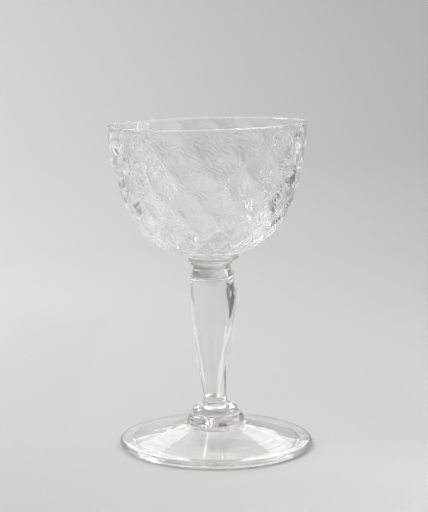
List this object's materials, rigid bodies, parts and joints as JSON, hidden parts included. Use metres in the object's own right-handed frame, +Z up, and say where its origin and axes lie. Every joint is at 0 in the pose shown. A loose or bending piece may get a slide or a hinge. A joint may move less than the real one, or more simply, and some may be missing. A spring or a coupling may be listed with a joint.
{
  "type": "stemmed drinking glass",
  "caption": "Hand-blown stemmed drinking glass: wide bowl with moulded lozenge bosses, hollow tapering stem between flat collars, stepped knop and low conical foot with a folded rim.",
  "frame": {"origin": "centre of the foot's rest face, on the surface that the glass stands on", "axes": "+Z up, from the foot towards the rim; the stem and bowl lean slightly towards -X"},
  "size_m": [0.0952, 0.0918, 0.1511],
  "materials": {
    "bowl_glass": "clear, mould-blown and fire-polished, with faint waves and seeds",
    "collar_glass": "clear with a slight warm grey tint where the glass is thick",
    "stem_glass": "clear, smooth",
    "foot_glass": "clear, with faint tool rings"
  },
  "bodies": {
    "root": {"bowl": "bowl_glass", "upper_merese": "collar_glass", "neck_collar": "collar_glass", "hollow_stem": "stem_glass", "stem_ring": "collar_glass", "knop_cap": "collar_glass", "foot_merese": "collar_glass", "foot": "foot_glass"}
  },
  "joints": []
}
